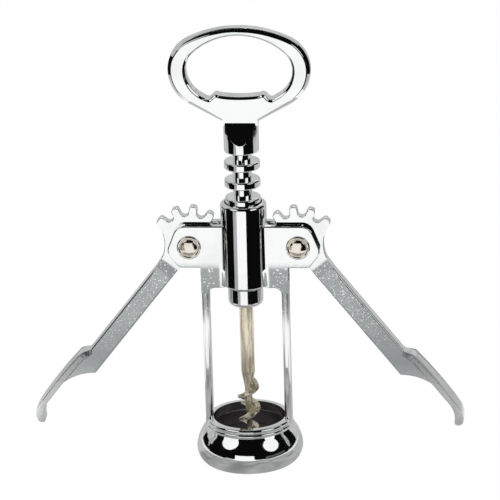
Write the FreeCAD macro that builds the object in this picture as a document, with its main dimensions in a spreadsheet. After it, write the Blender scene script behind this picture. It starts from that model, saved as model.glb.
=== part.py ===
import FreeCAD, Part
import math
import os

import Sketcher

# Wing corkscrew with two geared levers, standing on its bell with the levers half down.
# Millimetres. Z is up, X runs from lever to lever, and the origin is the centre of the bell's foot.

doc = FreeCAD.newDocument("wing_corkscrew")
sheet = doc.addObject("Spreadsheet::Sheet", "Sizes")

SIZES = {
    # Bell that sits on the bottle
    "bell_height": 16.0,
    "bell_radius": 18.8,
    "bell_widest": 5.2,
    "bell_low_bow": 6.4,
    "bell_high_bow": 14.0,
    "foot_radius": 16.3,
    "rim_radius": 14.9,
    "rim_opening": 12.75,
    "rim_edge": 0.6,
    "rim_bow": 1.1,
    "bead_height": 1.5,
    "bead_bow": 0.93,
    "bead_step": 0.4,
    "bell_cavity": 15.3,
    "cavity_height": 9.9,
    "cavity_bevel": 1.0,
    "bell_ceiling": 12.4,
    # Black liner pressed into the bell
    "liner_lip_radius": 14.5,
    "liner_neck": 12.6,
    "liner_fit": 0.05,
    "liner_lip_height": 6.2,
    "liner_foot_gap": 0.6,
    # Legs, web and ears of the frame
    "leg_outer": 15.25,
    "leg_inner": 12.75,
    "leg_depth": 6.0,
    "leg_round": 0.9,
    "leg_root": 0.2,
    "web_below": 15.4,
    "web_fillet": 2.4,
    "ear_root": 1.0,
    "pivot_across": 19.0,
    "pivot_height": 80.6,
    "ear_depth": 8.6,
    "ear_top": 7.75,
    "ear_bottom": 7.6,
    "ear_reach": 7.55,
    "ear_nose": 3.6,
    "ear_nose_drop": 1.42,
    "ear_high_corner": 4.35,
    "ear_low_corner": 2.0,
    "ear_rise_angle": 21.5,
    "ear_fall_angle": 37.8,
    "ear_edge": 0.5,
    # Barrel that guides the rack
    "barrel_radius": 8.07,
    "barrel_bore": 6.6,
    "barrel_above": 15.6,
    "barrel_below": 14.7,
    "barrel_lip": 1.2,
    "barrel_foot_edge": 0.5,
    # Rivets
    "rivet_shank": 2.0,
    "rivet_flange": 4.2,
    "rivet_rim": 0.6,
    "rivet_rim_edge": 0.3,
    "rivet_head": 3.4,
    "rivet_dome": 1.3,
    "rivet_fit": 0.05,
    # Rack
    "teeth_round": 13.0,
    "rack_pitch": 6.6,
    "rib_count": 7.0,
    "rib_radius": 6.25,
    "rib_height": 2.8,
    "rib_edge": 0.6,
    "rib_sink": 0.4,
    "rack_core": 3.3,
    "rack_play": 0.25,
    "first_rib": 4.0,
    # Sector gears of the levers
    "lever_rest": 38.1,
    "gear_depth": 3.4,
    "gear_gap": 0.1,
    "gear_tip": 14.1,
    "gear_root": 10.6,
    "gullet_foot": 1.45,
    "tooth_half": 1.15,
    "tooth_tip": 0.95,
    "gullet_count": 7.0,
    "first_gullet": 4.5,
    "crown_tooth": 5.0,
    "crown_turn": -50.0,
    "end_wedge": 6.0,
    "last_tooth": -2.0,
    "last_flank": 4.6,
    "last_edge": 8.1,
    "slot_room": 0.5,
    "lever_hub": 7.4,
    # Arms and thumb pads of the levers
    "arm_depth": 5.0,
    "arm_outer": 4.4,
    "arm_inner": 2.35,
    "arm_shoulder": 9.7,
    "arm_waist": 12.75,
    "waist_drop": 3.3,
    "arm_round": 0.7,
    "arm_ramp": 4.0,
    "shoulder_swell": 0.4,
    "pad_start": 52.8,
    "belly_drop": 6.5,
    "belly_bow": 18.5,
    "brace_run": 21.0,
    "brace_rise": 5.1,
    "pad_depth": 8.6,
    "pad_sink": 0.05,
    "pad_lip": 1.5,
    "pad_lip_rise": 0.55,
    "pad_ramp": 5.7,
    "pad_rise": 2.1,
    "pad_camber": 0.1,
    "pad_bow": 160.0,
    "pad_plate": 1.7,
    "curl_start": 28.7,
    "pad_curl": 7.1,
    "curl_angle": 30.0,
    "curl_end": 3.1,
    "curl_end_round": 1.6,
    "curl_foot": 25.2,
    "plan_ramp": 4.0,
    "plan_ramp_bow": 5.5,
    "plan_tip": 0.9,
    "plan_taper": 10.0,
    "plan_bow": 14.5,
    # Key: ring handle with opener, shank and spindle
    "key_depth": 5.8,
    "ring_half": 24.6,
    "ring_above": 63.9,
    "ring_crown": 15.3,
    "ring_shoulder": 12.5,
    "ring_hip": 14.0,
    "ring_bevel": 1.5,
    "ring_bevel_depth": 1.15,
    "neck_slope": 29.2,
    "ring_root": 1.0,
    "hole_half": 18.4,
    "hole_crown": 12.4,
    "hole_shoulder": 8.5,
    "hole_bevel": 0.8,
    "hole_bevel_depth": 0.7,
    "notch_reach": 10.9,
    "notch_drop": 9.8,
    "notch_round": 1.0,
    "notch_bow": 1.2,
    "tongue_half": 8.0,
    "tongue_drop": 8.9,
    "tongue_corner": 1.0,
    "tongue_round": 1.5,
    "tongue_dip": 0.5,
    "shank_radius": 6.1,
    "shank_bottom": 34.2,
    "neck_height": 45.2,
    "facet_foot": 37.7,
    "facet_head": 0.5,
    "facet_round": 0.5,
    "shank_edge": 0.6,
    "spindle_pin": 1.7,
    "pin_fit": 0.05,
    "pin_socket": 3.0,
    # Ferrule and worm below the rack
    "ferrule_radius": 6.12,
    "ferrule_height": 6.8,
    "ferrule_edge": 1.6,
    "ferrule_top_edge": 0.4,
    "ferrule_gap": 0.05,
    "worm_shank": 2.4,
    "worm_socket": 3.2,
    "worm_shank_length": 25.5,
    "worm_neck": 6.0,
    "worm_core": 1.35,
    "worm_point": 0.7,
    "worm_point_length": 7.0,
    "worm_radius": 4.3,
    "worm_pitch": 8.7,
    "worm_blade": 3.0,
    "worm_rim": 1.5,
    "worm_rim_bow": 0.85,
    "worm_turns": 3.3,
    "worm_reach": 54.0,
    "blade_reach": 57.2,
    "taper_head": 3.6,
    "taper_neck": 1.5,
    "taper_point": 8.5,
    "taper_skin": 0.02,
}

for row, (alias, number) in enumerate(SIZES.items(), start=1):
    sheet.set("A%d" % row, alias)
    sheet.set("B%d" % row, str(number))
    sheet.setAlias("B%d" % row, alias)
doc.recompute()


class Size:
    """A value together with the sheet formula that gives it."""

    def __init__(self, value, text):
        self.value = float(value)
        self.text = text

    @staticmethod
    def of(other):
        return other if isinstance(other, Size) else Size(other, repr(float(other)))

    def __add__(self, other):
        other = Size.of(other)
        return Size(self.value + other.value, "(%s + %s)" % (self.text, other.text))

    def __sub__(self, other):
        other = Size.of(other)
        return Size(self.value - other.value, "(%s - %s)" % (self.text, other.text))

    def __mul__(self, other):
        other = Size.of(other)
        return Size(self.value * other.value, "(%s * %s)" % (self.text, other.text))

    def __truediv__(self, other):
        other = Size.of(other)
        return Size(self.value / other.value, "(%s / %s)" % (self.text, other.text))

    def __radd__(self, other):
        return Size.of(other) + self

    def __rsub__(self, other):
        return Size.of(other) - self

    def __rmul__(self, other):
        return Size.of(other) * self

    def __rtruediv__(self, other):
        return Size.of(other) / self

    def __neg__(self):
        return Size(-self.value, "(-1 * %s)" % self.text)


def size(alias):
    return Size(sheet.get(alias), "Sizes." + alias)


def sine(angle):
    angle = Size.of(angle)
    return Size(math.sin(math.radians(angle.value)), "sin(%s)" % angle.text)


def cosine(angle):
    angle = Size.of(angle)
    return Size(math.cos(math.radians(angle.value)), "cos(%s)" % angle.text)


def root(area):
    area = Size.of(area)
    return Size(math.sqrt(area.value), "sqrt(%s)" % area.text)


def rising_bow(run, rise):
    """Radius of an arc that leaves its chord's base line smoothly and climbs by rise over run."""
    return (run * run + rise * rise) / (rise * 2)


ZERO = Size.of(0)

# How far a cut reaches past the piece it cuts, and the angle from straight up to sideways
SPARE = Size.of(2)
QUARTER_TURN = 90

# Heights and places that several pieces share
pivot_height = size("pivot_height")
pivot_across = size("pivot_across")
barrel_top = pivot_height + size("barrel_above")
barrel_bottom = pivot_height - size("barrel_below")
web_bottom = pivot_height - size("web_below")
ear_half = size("ear_depth") / 2
first_rib_height = pivot_height - size("rack_play") + size("rack_pitch") * (size("first_rib") + 0.5)
last_rib_height = first_rib_height - size("rack_pitch") * (size("rib_count") - 1)
shank_bottom = pivot_height + size("shank_bottom")
neck_height = pivot_height + size("neck_height")
rack_top = shank_bottom - size("ferrule_gap")
rack_bottom = last_rib_height - size("rack_pitch") + size("rib_height") / 2
ferrule_top = rack_bottom - size("ferrule_gap")
ferrule_bottom = ferrule_top - size("ferrule_height")
tooth_step = 360 / size("teeth_round")
slot_half = size("gear_depth") / 2 + size("gear_gap")
slot_radius = size("gear_tip") + size("slot_room")


def new_body(name):
    body = doc.addObject("PartDesign::Body", name)
    body.Label = name
    return body


def new_sketch(body, name, role, lift=None):
    sketch = body.newObject("Sketcher::SketchObject", name)
    plane = [item for item in body.Origin.OriginFeatures if item.Role == role][0]
    sketch.AttachmentSupport = (plane, "")
    sketch.MapMode = "FlatFace"
    if lift is not None:
        sketch.AttachmentOffset = FreeCAD.Placement(FreeCAD.Vector(0, 0, lift.value), FreeCAD.Rotation())
        sketch.setExpression("AttachmentOffset.Base.z", lift.text)
    return sketch


def bind(sketch, constraint, formula):
    index = sketch.addConstraint(constraint)
    sketch.setExpression("Constraints[%d]" % index, formula.text)


def pin_point(sketch, geometry, position, place):
    """Fixes one sketch point by the formulas of its two coordinates."""
    across, up = place
    if abs(across.value) < 1e-9:
        sketch.addConstraint(Sketcher.Constraint("PointOnObject", geometry, position, -2))
    else:
        bind(sketch, Sketcher.Constraint("DistanceX", -1, 1, geometry, position, across.value), across)
    if abs(up.value) < 1e-9:
        sketch.addConstraint(Sketcher.Constraint("PointOnObject", geometry, position, -1))
    else:
        bind(sketch, Sketcher.Constraint("DistanceY", -1, 1, geometry, position, up.value), up)


def draw_arc(sketch, start, end, radius, left):
    """Adds the short arc from start to end that bulges to the left or right of the way."""
    begin = FreeCAD.Vector(start[0].value, start[1].value, 0)
    finish = FreeCAD.Vector(end[0].value, end[1].value, 0)
    chord = finish - begin
    height = math.sqrt(max(radius.value ** 2 - (chord.Length / 2) ** 2, 0))
    normal = FreeCAD.Vector(-chord.y, chord.x, 0).normalize()
    centre = (begin + finish) * 0.5 - normal * height * (1 if left else -1)
    turn_in = math.atan2(begin.y - centre.y, begin.x - centre.x)
    turn_out = math.atan2(finish.y - centre.y, finish.x - centre.x)
    circle = Part.Circle(centre, FreeCAD.Vector(0, 0, 1), radius.value)
    if left:
        geometry = sketch.addGeometry(Part.ArcOfCircle(circle, turn_out, turn_in))
        ends = (2, 1)
    else:
        geometry = sketch.addGeometry(Part.ArcOfCircle(circle, turn_in, turn_out))
        ends = (1, 2)
    return geometry, ends


def outline(sketch, corners, arcs=None, flip=False):
    """Draws a closed outline through the corners; arcs gives radius and side for some edges."""
    arcs = arcs or {}
    edges = []
    for index, start in enumerate(corners):
        end = corners[(index + 1) % len(corners)]
        if index in arcs:
            radius, left = arcs[index]
            edges.append(draw_arc(sketch, start, end, radius, left != flip))
        else:
            line = Part.LineSegment(
                FreeCAD.Vector(start[0].value, start[1].value, 0),
                FreeCAD.Vector(end[0].value, end[1].value, 0),
            )
            edges.append((sketch.addGeometry(line), (1, 2)))
    for index, (geometry, ends) in enumerate(edges):
        before, before_ends = edges[index - 1]
        sketch.addConstraint(Sketcher.Constraint("Coincident", before, before_ends[1], geometry, ends[0]))
        pin_point(sketch, geometry, ends[0], corners[index])
        if index in arcs:
            radius = Size.of(arcs[index][0])
            bind(sketch, Sketcher.Constraint("Radius", geometry, radius.value), radius)
    return edges


def ring(sketch, place, radius):
    """Draws a circle about a point of the sketch."""
    centre = FreeCAD.Vector(place[0].value, place[1].value, 0)
    geometry = sketch.addGeometry(Part.Circle(centre, FreeCAD.Vector(0, 0, 1), radius.value))
    pin_point(sketch, geometry, 3, place)
    bind(sketch, Sketcher.Constraint("Radius", geometry, radius.value), radius)


def box_outline(sketch, left, right, bottom, top):
    outline(sketch, [(left, bottom), (right, bottom), (right, top), (left, top)])


def thicken(body, sketch, name, depth, kind="PartDesign::Pad"):
    """Pads or pockets a sketch by the same amount on both sides of its plane."""
    feature = body.newObject(kind, name)
    feature.Profile = sketch
    feature.Midplane = True
    feature.Length = depth.value
    feature.setExpression("Length", depth.text)
    return feature


def spin(body, sketch, name, kind="PartDesign::Revolution"):
    feature = body.newObject(kind, name)
    feature.Profile = sketch
    feature.ReferenceAxis = (sketch, ["V_Axis"])
    feature.Angle = 360
    return feature


def soften(body, base, name, radius, wanted, kind="PartDesign::Fillet"):
    """Rounds or chamfers the edges of the last feature for which wanted(edge) is true."""
    doc.recompute()
    names = ["Edge%d" % (i + 1) for i, edge in enumerate(base.Shape.Edges) if wanted(edge)]
    feature = body.newObject(kind, name)
    feature.Base = (base, names)
    prop = "Radius" if kind == "PartDesign::Fillet" else "Size"
    setattr(feature, prop, radius.value)
    feature.setExpression(prop, radius.text)
    return feature


def make_frame():
    """The casting: barrel, ears, webs, two legs and the bell."""
    body = new_body("frame")
    body.AllowCompound = True
    radius = size("barrel_radius")
    nose = size("ear_nose")
    high = size("ear_high_corner")
    low = size("ear_low_corner")
    rising = size("ear_rise_angle")
    falling = size("ear_fall_angle")
    nose_x = size("ear_reach") - nose
    nose_z = -size("ear_nose_drop")
    high_z = size("ear_top") - high
    high_x = (cosine(rising) * nose_x + sine(rising) * (nose_z - high_z) + nose - high) / cosine(rising)
    low_z = low - size("ear_bottom")
    low_x = (cosine(falling) * nose_x - sine(falling) * (nose_z - low_z) + nose - low) / cosine(falling)
    ear_top = pivot_height + size("ear_top")
    ear_bottom = pivot_height - size("ear_bottom")
    for side, word in ((-1, "left"), (1, "right")):
        into_barrel = (radius - size("ear_root")) * side

        def beside(out, up):
            """Point given from the pivot, outward and upward."""
            return ((pivot_across + out) * side, pivot_height + up)

        sketch = new_sketch(body, "ear_outline_" + word, "XZ_Plane")
        outline(
            sketch,
            [
                (into_barrel, ear_top),
                beside(high_x, size("ear_top")),
                beside(high_x + high * cosine(rising), high_z + high * sine(rising)),
                beside(nose_x + nose * cosine(rising), nose_z + nose * sine(rising)),
                beside(nose_x + nose * cosine(falling), nose_z - nose * sine(falling)),
                beside(low_x + low * cosine(falling), low_z - low * sine(falling)),
                beside(low_x, -size("ear_bottom")),
                (into_barrel, ear_bottom),
            ],
            {1: (high, False), 3: (nose, False), 5: (low, False)},
            side > 0,
        )
        ear = thicken(body, sketch, "ear_" + word, size("ear_depth"))

    def on_ear_face(item):
        box = item.BoundBox
        flat = abs(abs(box.YMin) - ear_half.value) < 1e-4 and box.YLength < 1e-4
        return flat and max(abs(box.XMin), abs(box.XMax)) > radius.value

    soften(body, ear, "ear_edges", size("ear_edge"), on_ear_face)

    fillet = size("web_fillet")
    leg_half = size("leg_depth") / 2
    for side, word in ((-1, "left"), (1, "right")):
        outer = size("leg_outer") * side
        inner = size("leg_inner") * side
        into_barrel = (radius - size("ear_root")) * side
        web_top = ear_bottom + size("ear_root")
        sketch = new_sketch(body, "web_outline_" + word, "XZ_Plane")
        outline(
            sketch,
            [
                (outer, web_bottom - fillet),
                (inner, web_bottom - fillet),
                (inner - fillet * side, web_bottom),
                (into_barrel, web_bottom),
                (into_barrel, web_top),
                (outer, web_top),
            ],
            {1: (fillet, True)},
            side > 0,
        )
        thicken(body, sketch, "web_" + word, size("ear_depth"))
    for way, hand in ((-1, "front"), (1, "back")):
        sketch = new_sketch(body, "web_slope_" + hand, "YZ_Plane")
        outline(
            sketch,
            [
                (ear_half * way, ear_bottom),
                (leg_half * way, web_bottom - fillet),
                (ear_half * way * 2, web_bottom - fillet),
                (ear_half * way * 2, ear_bottom),
            ],
        )
        thicken(body, sketch, "web_trim_" + hand, size("leg_outer") * 2 + SPARE, "PartDesign::Pocket")

    for side, word in ((-1, "left"), (1, "right")):
        outer = size("leg_outer") * side
        inner = size("leg_inner") * side
        corner = size("leg_round")
        leg_foot = size("bell_ceiling") + size("leg_root")
        sketch = new_sketch(body, "leg_section_" + word, "XY_Plane", leg_foot)
        outline(
            sketch,
            [
                (outer, corner - leg_half),
                (outer - corner * side, -leg_half),
                (inner + corner * side, -leg_half),
                (inner, corner - leg_half),
                (inner, leg_half - corner),
                (inner + corner * side, leg_half),
                (outer - corner * side, leg_half),
                (outer, leg_half - corner),
            ],
            {0: (corner, True), 2: (corner, True), 4: (corner, True), 6: (corner, True)},
            side < 0,
        )
        leg = body.newObject("PartDesign::Pad", "leg_" + word)
        leg.Profile = sketch
        leg_length = web_bottom - fillet / 2 - leg_foot
        leg.Length = leg_length.value
        leg.setExpression("Length", leg_length.text)

    lip = size("barrel_lip")
    foot_edge = size("barrel_foot_edge")
    sketch = new_sketch(body, "barrel_profile", "XZ_Plane")
    outline(
        sketch,
        [
            (ZERO, barrel_bottom),
            (radius - foot_edge, barrel_bottom),
            (radius, barrel_bottom + foot_edge),
            (radius, barrel_top - lip),
            (radius - lip, barrel_top),
            (ZERO, barrel_top),
        ],
        {1: (foot_edge, False), 3: (lip, False)},
    )
    spin(body, sketch, "barrel")

    rim = size("rim_radius")
    top = size("bell_height")
    bead = size("bead_height")
    cavity = size("bell_cavity")
    ceiling = size("bell_ceiling")
    sketch = new_sketch(body, "bell_profile", "XZ_Plane")
    outline(
        sketch,
        [
            (cavity, ZERO),
            (size("foot_radius"), ZERO),
            (size("bell_radius"), size("bell_widest")),
            (rim + size("bead_step"), top - bead * 2),
            (rim, top - bead),
            (rim - size("rim_edge"), top),
            (size("rim_opening"), top),
            (size("rim_opening"), ceiling),
            (cavity - size("cavity_bevel"), ceiling),
            (cavity, size("cavity_height")),
        ],
        {
            1: (size("bell_low_bow"), False),
            2: (size("bell_high_bow"), False),
            3: (size("bead_bow"), False),
            4: (size("rim_bow"), False),
        },
    )
    spin(body, sketch, "bell")

    sketch = new_sketch(body, "bore_circle", "XY_Plane", (barrel_bottom + barrel_top) / 2)
    ring(sketch, (ZERO, ZERO), size("barrel_bore"))
    thicken(body, sketch, "bore", barrel_top - barrel_bottom + SPARE, "PartDesign::Pocket")

    for side, word in ((-1, "left"), (1, "right")):
        centre = (pivot_across * side, pivot_height)
        sketch = new_sketch(body, "slot_circle_" + word, "XZ_Plane")
        ring(sketch, centre, slot_radius)
        thicken(body, sketch, "lever_slot_" + word, slot_half * 2, "PartDesign::Pocket")
        sketch = new_sketch(body, "rivet_circle_" + word, "XZ_Plane")
        ring(sketch, centre, size("rivet_shank") + size("rivet_fit"))
        thicken(body, sketch, "rivet_hole_" + word, size("ear_depth") + SPARE, "PartDesign::Pocket")
    return body


def make_liner():
    """The black ring inside the bell that the bottle's lip meets."""
    body = new_body("bell_liner")
    outer = size("bell_cavity") - size("liner_fit")
    ceiling = size("bell_ceiling")
    neck = size("liner_neck")
    lip = size("liner_lip_radius")
    sketch = new_sketch(body, "liner_profile", "XZ_Plane")
    outline(
        sketch,
        [
            (lip, size("liner_foot_gap")),
            (outer, size("liner_foot_gap")),
            (outer, size("cavity_height")),
            (outer - size("cavity_bevel"), ceiling),
            (neck, ceiling),
            (neck, size("liner_lip_height") + lip - neck),
            (lip, size("liner_lip_height")),
        ],
    )
    spin(body, sketch, "liner")
    return body


def make_rivet(side, word):
    """One rivet: shank along Y through both ears, flange and domed head at each end."""
    body = new_body("rivet_" + word)
    shank = size("rivet_shank")
    flange = size("rivet_flange")
    head = size("rivet_head")
    rim = ear_half + size("rivet_rim")
    edge = size("rivet_rim_edge")
    dome = size("rivet_dome")
    bow = rising_bow(head, dome)
    sketch = new_sketch(body, "rivet_profile_" + word, "XY_Plane")
    outline(
        sketch,
        [
            (ZERO, -(rim + dome)),
            (head, -rim),
            (flange - edge, -rim),
            (flange, edge - rim),
            (flange, -ear_half),
            (shank, -ear_half),
            (shank, ear_half),
            (flange, ear_half),
            (flange, rim - edge),
            (flange - edge, rim),
            (head, rim),
            (ZERO, rim + dome),
        ],
        {0: (bow, False), 2: (edge, False), 8: (edge, False), 10: (bow, False)},
    )
    spin(body, sketch, "rivet_turn_" + word)
    body.Placement = FreeCAD.Placement(
        FreeCAD.Vector(pivot_across.value * side, 0, pivot_height.value), FreeCAD.Rotation()
    )
    body.setExpression("Placement.Base.x", (pivot_across * side).text)
    body.setExpression("Placement.Base.z", pivot_height.text)
    return body


def make_lever(side, word):
    """One lever: sector gear between the ears, flat arm and thumb pad, drawn hanging down."""
    body = new_body("lever_" + word)
    flip = side < 0
    tip = size("gear_tip")
    rest = size("lever_rest")
    gear_half = size("gear_depth") / 2

    def along(down, out):
        return (Size.of(out) * side, -Size.of(down))

    def around(turn, radius):
        """Point at an angle from straight up, outward positive, given as it stands at rest."""
        angle = Size.of(turn) + rest
        return (sine(angle) * radius * side, cosine(angle) * radius)

    outer = size("arm_outer")
    inner = size("arm_inner")
    hub = size("lever_hub")
    shoulder = size("arm_shoulder")
    pad_start = size("pad_start")
    waist_foot = shoulder + size("waist_drop")
    hub_foot = root(hub * hub - inner * inner)
    last_tooth = tooth_step * size("last_tooth") - QUARTER_TURN
    sketch = new_sketch(body, "gear_outline_" + word, "XZ_Plane")
    outline(
        sketch,
        [
            around(tooth_step * size("crown_tooth") - QUARTER_TURN + size("end_wedge"), tip),
            along(waist_foot, outer),
            along(pad_start, outer),
            along(pad_start, -inner),
            along(hub_foot, -inner),
            around(last_tooth - size("last_flank"), hub),
            around(last_tooth - size("last_edge"), tip),
            around(size("crown_turn"), tip),
        ],
        {
            0: (size("arm_waist"), False),
            4: (hub, True),
            6: (tip, True),
            7: (tip, True),
        },
        flip,
    )
    thicken(body, sketch, "gear_blank_" + word, gear_half * 2)

    sketch = new_sketch(body, "arm_outline_" + word, "XZ_Plane")
    outline(
        sketch,
        [
            along(shoulder, outer + size("shoulder_swell")),
            along(waist_foot, outer),
            along(pad_start, outer),
            along(pad_start + size("brace_run"), size("brace_rise")),
            along(pad_start + size("belly_drop"), -inner),
            along(shoulder, -inner),
        ],
        {3: (size("belly_bow"), False)},
        flip,
    )
    arm = thicken(body, sketch, "arm_" + word, size("arm_depth"))
    arm_half = size("arm_depth") / 2

    def on_long_edge(item):
        box = item.BoundBox
        on_face = abs(abs(box.YMin) - arm_half.value) < 1e-4 and box.YLength < 1e-4
        return on_face and box.XLength < 1e-4 and box.ZLength > pad_start.value / 2

    soften(body, arm, "arm_edges_" + word, size("arm_round"), on_long_edge)

    top = outer + size("pad_rise")
    under = top - size("pad_plate")
    bend = pad_start + size("curl_start")
    curl = size("pad_curl")
    curl_angle = size("curl_angle")
    crest = top + size("pad_camber")
    thick = size("curl_end")
    end_down = bend + curl * cosine(curl_angle)
    back_down = bend + (curl - thick) * cosine(curl_angle)
    back_out = crest - curl + (curl - thick) * sine(curl_angle)
    lip = size("pad_lip")
    lip_rise = size("pad_lip_rise")
    ramp = size("pad_ramp") - lip
    ramp_rise = size("pad_rise") - lip_rise
    hollow = back_down - pad_start - size("curl_foot")
    hollow_rise = under - back_out
    sketch = new_sketch(body, "pad_outline_" + word, "XZ_Plane")
    outline(
        sketch,
        [
            along(pad_start, outer - size("pad_sink")),
            along(pad_start + lip, outer + lip_rise),
            along(pad_start + size("pad_ramp"), top),
            along(bend, crest),
            along(end_down, crest - curl + curl * sine(curl_angle)),
            along(back_down, back_out),
            along(pad_start + size("curl_foot"), under),
            along(pad_start + size("pad_ramp"), under),
            along(pad_start + lip, outer - lip),
        ],
        {
            0: (rising_bow(lip, lip_rise + size("pad_sink")), False),
            1: (rising_bow(ramp, ramp_rise), True),
            2: (size("pad_bow"), True),
            3: (curl, True),
            4: (size("curl_end_round"), True),
            5: (rising_bow(hollow, hollow_rise), False),
        },
        flip,
    )
    thicken(body, sketch, "pad_" + word, size("pad_depth"))

    half_pad = size("pad_depth") / 2
    far = end_down
    beyond = far + SPARE
    wide = half_pad + SPARE
    for way, hand in ((-1, "front"), (1, "back")):
        sketch = new_sketch(body, "pad_plan_%s_%s" % (word, hand), "YZ_Plane")
        outline(
            sketch,
            [
                (gear_half * way, -shoulder),
                (arm_half * way, -(shoulder + size("arm_ramp"))),
                (arm_half * way, -pad_start),
                (half_pad * way, -(pad_start + size("plan_ramp"))),
                (half_pad * way, -(far - size("plan_taper"))),
                (size("plan_tip") * way, -far),
                (size("plan_tip") * way, -beyond),
                (wide * way, -beyond),
                (wide * way, -shoulder),
            ],
            {2: (size("plan_ramp_bow"), False), 4: (size("plan_bow"), True)},
            way < 0,
        )
        trim = body.newObject("PartDesign::Pocket", "pad_trim_%s_%s" % (word, hand))
        trim.Profile = sketch
        trim.Type = 1
        trim.Midplane = True

    angle = tooth_step * size("first_gullet") - QUARTER_TURN + rest
    gullet = size("gullet_foot")
    root_radius = size("gear_root")
    mouth = tip * sine(tooth_step / 2) - size("tooth_half")

    def in_gullet(radius, across):
        """Point at a radius on the gullet's centre line and a step across it."""
        return (
            (sine(angle) * radius + cosine(angle) * across) * side,
            cosine(angle) * radius - sine(angle) * across,
        )

    sketch = new_sketch(body, "gullet_outline_" + word, "XZ_Plane")
    outline(
        sketch,
        [
            in_gullet(root_radius + gullet, gullet),
            in_gullet(tip, mouth),
            in_gullet(tip + SPARE, mouth),
            in_gullet(tip + SPARE, -mouth),
            in_gullet(tip, -mouth),
            in_gullet(root_radius + gullet, -gullet),
            in_gullet(root_radius, ZERO),
        ],
        {5: (gullet, False), 6: (gullet, False)},
        flip,
    )
    cut = thicken(body, sketch, "gullet_" + word, gear_half * 2 + SPARE, "PartDesign::Pocket")
    pattern = body.newObject("PartDesign::PolarPattern", "gullets_" + word)
    pattern.Originals = [cut]
    pattern.Axis = (sketch, ["N_Axis"])
    pattern.Reversed = side < 0
    pattern.Occurrences = int(size("gullet_count").value)
    pattern.setExpression("Occurrences", size("gullet_count").text)
    span = tooth_step * (size("gullet_count") - 1)
    pattern.Angle = span.value
    pattern.setExpression("Angle", span.text)
    body.Tip = pattern

    sketch = new_sketch(body, "pivot_circle_" + word, "XZ_Plane")
    ring(sketch, (ZERO, ZERO), size("rivet_shank") + size("rivet_fit"))
    bored = thicken(body, sketch, "pivot_hole_" + word, gear_half * 2 + SPARE, "PartDesign::Pocket")

    def on_tooth_tip(item):
        box = item.BoundBox
        level = box.XLength < 1e-4 and box.ZLength < 1e-4 and box.YLength > 1
        return level and abs(math.hypot(box.XMin, box.ZMin) - tip.value) < 0.02

    soften(body, bored, "tooth_tips_" + word, size("tooth_tip"), on_tooth_tip)

    body.Placement = FreeCAD.Placement(
        FreeCAD.Vector(pivot_across.value * side, 0, pivot_height.value),
        FreeCAD.Rotation(FreeCAD.Vector(0, 1, 0), -rest.value * side),
    )
    body.setExpression("Placement.Base.x", (pivot_across * side).text)
    body.setExpression("Placement.Base.z", pivot_height.text)
    return body


def make_rack():
    """The round rack: a core tube with evenly spaced ribs that the sector gears climb."""
    body = new_body("rack")
    sketch = new_sketch(body, "core_profile", "XZ_Plane")
    bore = size("spindle_pin") + size("pin_fit")
    core = size("rack_core")
    box_outline(sketch, bore, core, rack_bottom, rack_top)
    spin(body, sketch, "core")

    radius = size("rib_radius")
    half = size("rib_height") / 2
    edge = size("rib_edge")
    inside = core - size("rib_sink")
    sketch = new_sketch(body, "rib_profile", "XZ_Plane")
    outline(
        sketch,
        [
            (inside, first_rib_height - half),
            (radius - edge, first_rib_height - half),
            (radius, first_rib_height - half + edge),
            (radius, first_rib_height + half - edge),
            (radius - edge, first_rib_height + half),
            (inside, first_rib_height + half),
        ],
        {1: (edge, False), 3: (edge, False)},
    )
    rib = spin(body, sketch, "rib")
    pattern = body.newObject("PartDesign::LinearPattern", "ribs")
    pattern.Originals = [rib]
    pattern.Direction = (sketch, ["V_Axis"])
    pattern.Reversed = True
    pattern.Occurrences = int(size("rib_count").value)
    pattern.setExpression("Occurrences", size("rib_count").text)
    span = size("rack_pitch") * (size("rib_count") - 1)
    pattern.Length = span.value
    pattern.setExpression("Length", span.text)
    body.Tip = pattern
    return body


def bevel(body, base, name, across, deep, wanted):
    """Chamfers the edges of a flat face, further across the face than down its side."""
    doc.recompute()
    names = ["Edge%d" % (i + 1) for i, edge in enumerate(base.Shape.Edges) if wanted(edge)]
    feature = body.newObject("PartDesign::Chamfer", name)
    feature.Base = (base, names)
    feature.ChamferType = "Two distances"
    feature.Size = across.value
    feature.setExpression("Size", across.text)
    feature.Size2 = deep.value
    feature.setExpression("Size2", deep.text)
    return feature


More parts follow.
